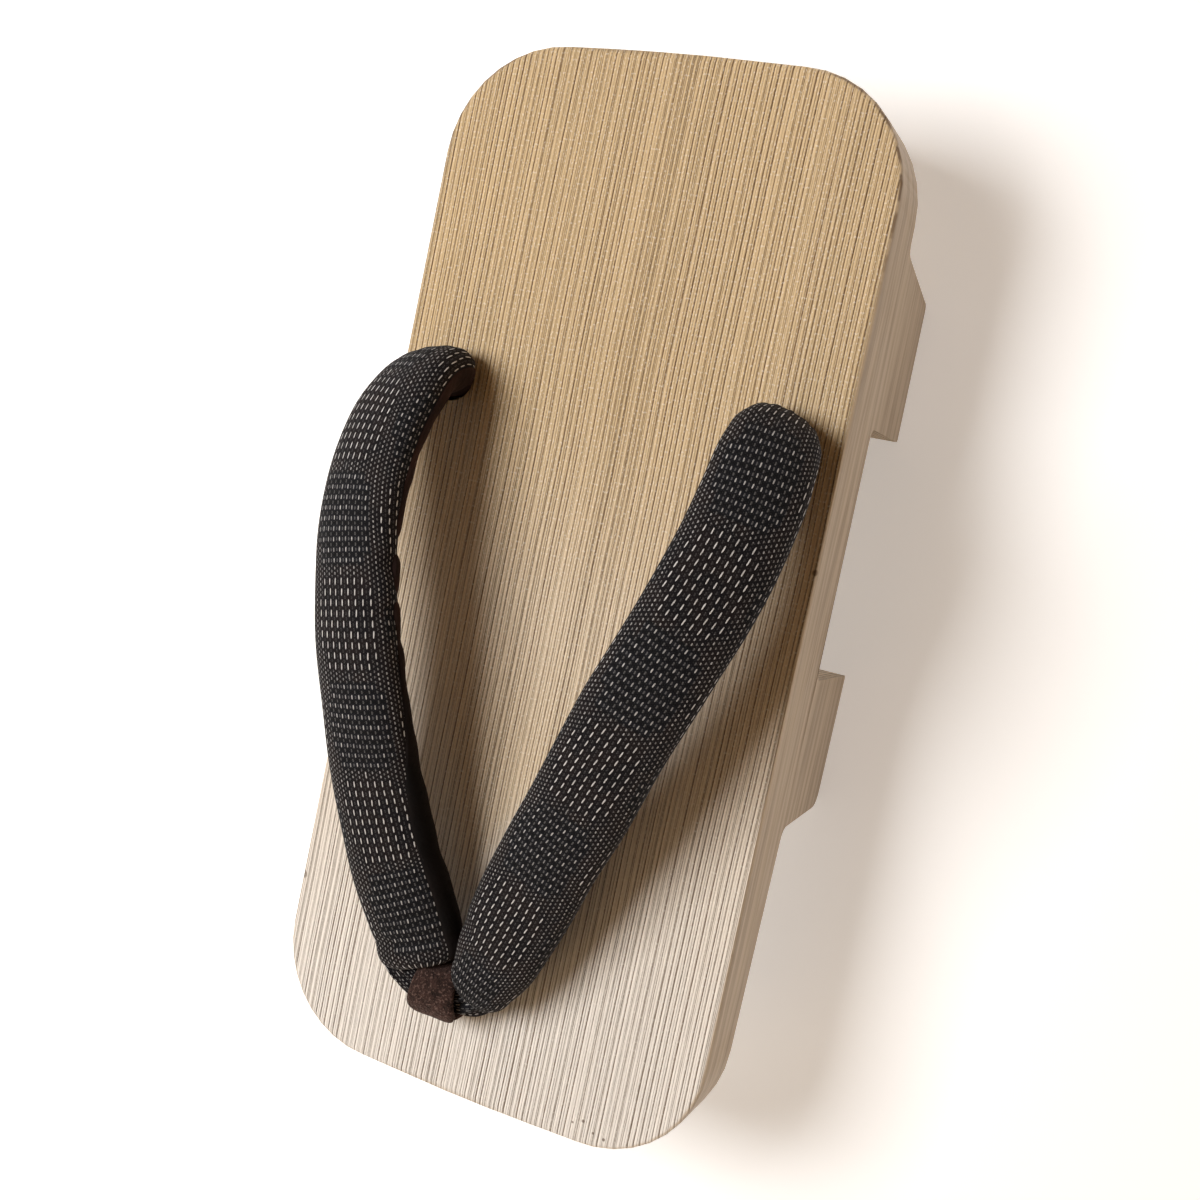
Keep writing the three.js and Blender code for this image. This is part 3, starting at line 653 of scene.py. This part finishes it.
# %% Work out a leg's path
def leg_path(which, steps):
    """Centres, facings, widths and thicknesses along one leg, in millimetres. The middle is
    (out of the centre line that drifts with along, back from the hole by along, up), and
    the face looks up, turned back and leant outwards by the table's angles."""
    side = -1.0 if which == "inner" else 1.0
    table = LEG + TIPS[which]
    along_leg, out, high, width, thick, back, lean = between(table, np.linspace(0, len(table) - 1, steps)).T
    centres = np.stack([-SKEW * along_leg + side * out * HEEL_HOLE_SPREAD / 2,
                        HEEL_HOLE_BACK - along_leg * REACH, TOP + high * RISE], axis=1)
    lean, back = np.radians(lean * LEAN), np.radians(back)
    facings = np.stack([side * np.sin(lean), np.cos(lean) * np.sin(back),
                        np.cos(lean) * np.cos(back)], axis=1)
    ahead = unit(centres[-1] - centres[-2])
    share = np.sin(np.linspace(0, np.pi / 2, 22))[1:-1]
    power = TIP_ROUNDING[which]
    narrowing = np.maximum((1 - share**power) ** (1 / power), 0.10)
    centres = np.concatenate([centres, centres[-1] + ahead * (share * TIP)[:, None]])
    facings = np.concatenate([facings, np.repeat(facings[-1:], len(share), axis=0)])
    widths = np.concatenate([width * WIDTH, width[-1] * WIDTH * narrowing])
    thicks = np.concatenate([thick * THICK, thick[-1] * THICK * narrowing])
    centres[0, 2] = UNDER_BOARD
    return centres, facings, widths, thicks


# %% [markdown]
# The folds come next, as soft troughs and ridges in the section's radius. The cloth is
# gathered into pleats where it goes down the heel hole, and they die out in 30 mm. Short
# cross creases sit inside the rear bend, where the tube is shortest, and the stuffing is
# never quite even, so long shallow lumps run all the way.

# %% Fold and stuff the legs
def bell(value, middle, reach):
    """A smooth hump, 1 at middle and small beyond reach."""
    return np.exp(-(((value - middle) / reach) ** 2))


def rise(value, middle, reach):
    """From 0 to 1, half way at middle: half of 1 + tanh((value - middle) / reach)."""
    return 0.5 + 0.5 * np.tanh((value - middle) / reach)


# columns: distance along the leg, distance round it, reach along, reach round, depth
CREASES = {
    "inner": [(63.0, -13.5, 2.2, 4.0, 0.9), (73.5, -13.5, 2.0, 4.5, 0.7), (41.0, -9.5, 3.0, 6.0, 0.35),
              (153.0, 0.0, 2.0, 14.0, 0.7), (148.0, -8.0, 1.6, 6.0, 0.5), (9.0, -20.0, 1.6, 6.0, 0.4),
              (14.0, -21.0, 1.6, 6.0, 0.4)],
    "outer": [(9.0, 20.0, 1.6, 6.0, 0.4), (14.0, 21.0, 1.6, 6.0, 0.4),
              (150.0, 9.0, 2.5, 5.0, 0.5), (156.0, -8.0, 2.0, 5.0, 0.4)],
}


def folds(which, distance, around):
    """How far the cloth stands out at each grid point: pleats x cos(13 turns round), less
    the creases, plus slow lumps."""
    d, a = np.meshgrid(distance, around, indexing="ij")
    turn_share = a / around.ptp()
    pleats = 0.12 * np.cos(2 * np.pi * 13 * turn_share + 0.6 * np.sin(a)) * bell(d, 4.0, 12.0)
    lumps = 0.16 * np.sin(d / 6.1 + np.sin(a / 5.0)) * np.cos(a / 7.3 + d / 17.0)
    pressed = sum(depth * bell(d, at, reach) * bell(a, turn_at, wide)
                  for at, turn_at, reach, wide, depth in CREASES[which])
    return pleats + lumps - pressed


# where the first patch is centred along each leg, how far the pattern is turned round it
# near the heel hole, and how much further towards the toes, because the cloth is twisted
CLOTH_LAY = {"inner": (27.8, 0.3, 4.6), "outer": (46.4, 2.0, 0.0)}
# how far along the leg the twist is half done, and over what length
CLOTH_TWIST = (52.0, 14.0)
# how many rows a leg has before its rounded tip, and how much of it hangs below the board's top
LEG_STEPS = 250
BELOW_TOP = 18.0


def make_leg(which, columns=120):
    """One padded leg. Its UV map counts millimetres round it, and along it from the middle
    of a patch of stitches."""
    centres, facings, widths, thicks = leg_path(which, LEG_STEPS)
    angles, around = even_angles(columns, WIDTH, THICK, FULLNESS, -np.pi / 2)
    around = -around
    distance = lengths_along(centres) - BELOW_TOP
    grid = tube(centres, facings, widths, thicks, angles, FULLNESS, folds(which, distance, around))
    start, near_hole, drift = CLOTH_LAY[which]
    marks = marks_of(around + near_hole, distance - start)
    marks[..., 0] += drift * rise(distance, *CLOTH_TWIST)[:, None]
    return skin("leg_" + which, grid * MM, marks, cloth)


inner_leg = make_leg("inner")
outer_leg = make_leg("outer")

# %% [markdown]
# ## The pinched cloth
# Between the legs the cloth is empty of stuffing and squeezed flat under the toe loop. It
# is a narrow tube again, with deep lengthwise gathers.

# %% Gather the middle
TOE_HOLE = np.array([-9.0, -102.5])
PINCH_ACROSS, PINCH_BEHIND, PINCH_UP = 11.0, 13.0, 6.5
PINCH_WIDTH, PINCH_THICK = 9.8, 7.2
# columns: across, behind, up, width
PINCH = [(-0.95, 1.00, 1.15, 0.95), (-1.20, 0.62, 1.02, 1.05), (-0.66, 0.28, 0.98, 1.02),
         (0.00, 0.20, 1.00, 0.84), (0.48, 0.22, 1.00, 0.98), (0.92, 0.40, 1.02, 1.00),
         (1.10, 0.85, 1.15, 0.88)]
sideways, behind, high, wide = between(PINCH, np.linspace(0, len(PINCH) - 1, 120)).T
pinch_centres = np.stack([TOE_HOLE[0] + sideways * PINCH_ACROSS, TOE_HOLE[1] + behind * PINCH_BEHIND,
                          TOP + high * PINCH_UP], axis=1)
pinch_angles, pinch_around = even_angles(96, PINCH_WIDTH, PINCH_THICK, FULLNESS, -np.pi / 2)
pinch_distance = lengths_along(pinch_centres)
pinch_folds = 0.35 * np.cos(pinch_around * 2 * np.pi / 3.4 + 0.8 * np.sin(pinch_distance[:, None] / 3.0))
pinch_folds = pinch_folds + 0.2 * np.cos(pinch_around * 2 * np.pi / 1.9 + pinch_distance[:, None] / 2.0)
pinch_facings = np.repeat([[0.0, 0.0, 1.0]], len(pinch_centres), axis=0)
pinch_grid = tube(pinch_centres, pinch_facings, wide * PINCH_WIDTH, wide * PINCH_THICK,
                  pinch_angles, FULLNESS, pinch_folds - 0.2)
pinch_marks = marks_of(pinch_around * 1.5, pinch_distance)
pinch = skin("pinched_cloth", pinch_grid * MM, pinch_marks, cloth)
strap = gather("padded_strap", [inner_leg, outer_leg, pinch], cloth)
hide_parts("strap")
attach(strap, "root")
print("strap box:", np.round(np.array([v.co for v in strap.data.vertices]).ptp(axis=0), 4))

# %% [markdown]
# ## The lining
# A strip of dark brown velveteen is sewn along the underside, where the foot rubs. It is a
# thin lens that follows the leg's own section, a little prouder than the cloth, so its edge
# shows as a fine brown line along the inner edge of each leg. Near the toes the strip climbs
# up the inner leg's flank as a dark band that stands for the deep shade on that flank, and
# the velveteen darkens towards the toes: both are painted shade.

# %% Velveteen
velvet, velvet_shader, velvet_place = start_material("velveteen", Sheen_Weight=0.1, Sheen_Roughness=0.4)
velvet_shader.inputs["Specular IOR Level"].default_value = 0.2
velvet_shader.inputs["Sheen Tint"].default_value = (0.45, 0.22, 0.16, 1)
nap = noise(velvet_place, 900.0, 3.0, 0.6)
crushed = noise(velvet_place, 90.0, 2.0)
velvet_colour = blend(crushed.ramp(0.35, 0.7), (0.012, 0.005, 0.004), (0.034, 0.014, 0.010))
# This darkens the velveteen towards the toes: painted shade for the deep shade on the legs' flanks there.
toe_end_shade = split(velvet_place)[1].ramp(-0.010, -0.050)
velvet_colour = shade(velvet_colour, (nap * 0.6 + 0.7) * (1 - toe_end_shade * 0.9))
feed(velvet_shader, "Base Color", velvet_colour)
feed(velvet_shader, "Roughness", nap * 0.1 + 0.85)
feed(velvet_shader, "Normal", bump(nap + crushed, 0.25 * MM))

# %% Lay the lining under each leg
# columns: where the strip starts and ends round the section, and how much it climbs up the
# first side near the toes, in degrees
LINING_EDGES = {"inner": (188.0, 334.0, 46.0), "outer": (206.0, 340.0, 0.0)}
# The climb lays the dark velveteen up the inner leg's flank where there is only shade: a dark sheet as
# painted shade.
# how far along the leg the climb is half done, and over what length
LINING_CLIMB = (107.0, 12.0)
LINED_ROWS = slice(12, 262)
# columns: distance along the leg, reach along, depth
NOTCHES = {"inner": [(58.0, 2.4, 1.5), (70.0, 1.6, 0.6), (80.0, 2.0, 0.4)], "outer": []}


def make_lining(which, columns=36):
    """A closed strip: out along the underside, swollen by its nap, and back inside it."""
    centres, facings, widths, thicks = leg_path(which, LEG_STEPS)
    distance = lengths_along(centres)[LINED_ROWS] - BELOW_TOP
    start, end, climb = np.radians(LINING_EDGES[which])
    start = start - climb * rise(distance, *LINING_CLIMB)[:, None]
    share = np.linspace(0, 1, columns)
    outer_run = start + (end - start) * share
    angles = np.concatenate([outer_run, outer_run[:, ::-1], outer_run[:, :1]], axis=1)
    puff = 0.15 + 0.75 * np.sin(np.pi * share) ** 0.5
    grow = np.concatenate([puff, np.full(columns, -1.2), puff[:1]])
    ripple = 0.22 * np.sin(distance / 2.3) * np.sin(distance / 7.9)
    ripple = ripple - sum(depth * bell(distance, at, long) for at, long, depth in NOTCHES[which])
    grow = grow[None] + ripple[:, None] * (grow > 0)
    section = [each[LINED_ROWS] for each in (centres, facings, widths, thicks)]
    grid = tube(*section, angles, FULLNESS, grow)
    marks = np.zeros(grid.shape[:2] + (2,))
    return skin("lining_" + which, grid * MM, marks, velvet)


for which in ("inner", "outer"):
    lining = make_lining(which)
    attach(lining, "root")

# %% [markdown]
# ## The toe loop
# A band of brown felt goes over the pinched cloth, and both its ends go down the toe hole.
# Felt has no weave: its look is a soft nap, so the surface is noise at two scales. The band
# spreads from behind to in front, as pulled felt does, and its front corners are round.

# %% Felt
felt, felt_shader, felt_place = start_material("loop_felt", Sheen_Weight=0.25, Sheen_Roughness=0.5)
felt_shader.inputs["Specular IOR Level"].default_value = 0.2
felt_shader.inputs["Sheen Tint"].default_value = (0.50, 0.32, 0.26, 1)
tufts = noise(felt_place, 620.0, 4.0, 0.65)
hair = noise(felt_place, 1700.0, 2.0, 0.6)
felt_colour = blend(tufts.ramp(0.3, 0.75), (0.010, 0.005, 0.004), (0.052, 0.027, 0.022))
felt_colour = blend(hair.ramp(0.54, 0.68) * 0.60, felt_colour, (0.200, 0.125, 0.105))
feed(felt_shader, "Base Color", felt_colour)
feed(felt_shader, "Roughness", tufts * 0.1 + 0.88)
feed(felt_shader, "Normal", bump(tufts + hair * 0.5, 0.9 * MM))

# %% Bend the band
# in millimetres: the flare is how much wider the band is in front, and the rounding is what
# its width loses again at the very front
LOOP_WIDTH = 10.0
LOOP_THICK = 2.6
LOOP_FLARE = 3.9
LOOP_ROUNDING = 3.8
LOOP_FULLNESS = 3.3
LOOP_CLEAR = 0.3
STEM_GAP = 2.4
stem = (STEM_GAP + LOOP_THICK) / 2
reach_across = PINCH_WIDTH / 2 + LOOP_THICK / 2 + LOOP_CLEAR
crown = PINCH_UP + PINCH_THICK / 2 + LOOP_THICK / 2 + LOOP_CLEAR
shift = 0.16 * PINCH_BEHIND
shoulder = PINCH_UP * 0.95
# columns: behind the hole, above the board, width
half_loop = np.array([(stem, -11.2, 7.0), (stem, -3.9, 7.0), (stem * 1.15, 0.0, 7.0),
                      (shift + reach_across * 0.86, shoulder * 0.45, 8.8)])
arch_angle = np.linspace(0, np.pi, 13)
arch = np.stack([shift + reach_across * np.cos(arch_angle),
                 shoulder + (crown - shoulder) * np.sin(arch_angle) ** 0.9,
                 LOOP_WIDTH * (0.94 + 0.06 * np.sin(arch_angle))], axis=1)
other_half = half_loop[::-1].copy()
other_half[:3, 0] = [shift - reach_across * 0.86, -stem * 1.15, -stem]
other_half[3, 0] = -stem
loop_table = np.concatenate([half_loop, arch, other_half])
loop_rows = between(loop_table, np.linspace(0, len(loop_table) - 1, 170))
loop_centres = np.stack([np.full(len(loop_rows), TOE_HOLE[0]), TOE_HOLE[1] + loop_rows[:, 0],
                         TOP + loop_rows[:, 1]], axis=1)

# %% Flare the band
in_front = np.clip((shift - loop_rows[:, 0]) / reach_across, 0, 1)
loop_centres[:, 1] += 1.1 * in_front * np.clip(loop_rows[:, 1] / shoulder, 0, 1)
above = np.clip(loop_rows[:, 1] / (0.45 * shoulder), 0, 1)
spread = np.clip((shift + reach_across - loop_rows[:, 0]) / (2 * reach_across), 0, 1)
trimmed = 1 - np.sqrt(1 - np.clip((in_front - 0.45) / 0.55, 0, 1) ** 2)
loop_widths = loop_rows[:, 2] - 0.4 + (LOOP_FLARE * spread**0.6 - LOOP_ROUNDING * trimmed) * above
loop_ahead = unit(np.gradient(loop_centres, axis=0))
loop_facings = np.cross(loop_ahead, [1.0, 0.0, 0.0])
loop_angles, loop_around = even_angles(72, LOOP_WIDTH, LOOP_THICK, LOOP_FULLNESS, -np.pi / 2)
loop_distance = lengths_along(loop_centres)
loop_wobble = 0.12 * np.sin(loop_distance[:, None] / 2.1 + loop_around / 1.7)
loop_grid = tube(loop_centres, loop_facings, loop_widths, np.full(len(loop_rows), LOOP_THICK),
                 loop_angles, LOOP_FULLNESS, loop_wobble)
toe_loop = skin("felt_loop", loop_grid * MM, marks_of(loop_around, loop_distance), felt)
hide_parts("toe_loop")
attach(toe_loop, "root")

# %% [markdown]
# ## Knots
# Under the board each cord ends in a knot that can't pull through. A knot is a cord along a
# closed curve that passes over and under itself, here the trefoil, flattened to fit its
# place. The two strands of the twisted cord are ridges that wind round it.

# %% Hemp cord
hemp, hemp_shader, hemp_place = start_material("knot_cord")
hemp_marks = hemp_place.node("ShaderNodeUVMap", {"uv_map": "cloth"})
hemp_round, hemp_along, _ = split(hemp_marks)
strand = (hemp_round * 3.0 + hemp_along * 0.32).wave()
hairs = noise(hemp_place, 2200.0, 3.0)
hemp_colour = blend(strand.ramp(-1.0, 0.4), (0.30, 0.22, 0.12), (0.58, 0.47, 0.30))
feed(hemp_shader, "Base Color", shade(hemp_colour, hairs * 0.5 + 0.75))
feed(hemp_shader, "Roughness", hairs * 0.2 + 0.7)
feed(hemp_shader, "Normal", bump(strand + hairs * 0.5, 0.25 * MM))


# %% Tie the knots
def tie_knot(name, node, cord_radius):
    """A trefoil in the node's box: x = sin t + 2 sin 2t, y = cos t - 2 cos 2t,
    z = -sin 3t, each scaled to leave room for the cord's own radius."""
    low, high = [np.array(corner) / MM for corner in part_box(node)]
    t = np.linspace(0, 2 * np.pi, 161)[:-1]
    curve = np.stack([np.sin(t) + 2 * np.sin(2 * t), np.cos(t) - 2 * np.cos(2 * t), -np.sin(3 * t)], axis=1)
    room = (high - low) / 2 - cord_radius
    curve = curve / np.array([3.0, 3.0, 1.0]) * room + (low + high) / 2
    curve = np.concatenate([curve, curve[:1] + (curve[1:2] - curve[:1]) * 0.02])
    outwards = curve - (low + high) / 2 + np.array([0.0, 0.0, 0.4])
    angles = np.linspace(0, 2 * np.pi, 25)
    size = np.full(len(curve), 2 * cord_radius)
    grid = tube(curve, outwards, size, size, angles, 2.0)
    distance = lengths_along(curve)
    knot = skin(name, grid * MM, marks_of(angles / (2 * np.pi), distance), hemp)
    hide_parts(node)
    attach(knot, "root")


tie_knot("cord_knot_toe", "toe_knot", 1.9)
tie_knot("cord_knot_inner", "heel_knot_inner", 2.6)
tie_knot("cord_knot_outer", "heel_knot_outer", 2.6)
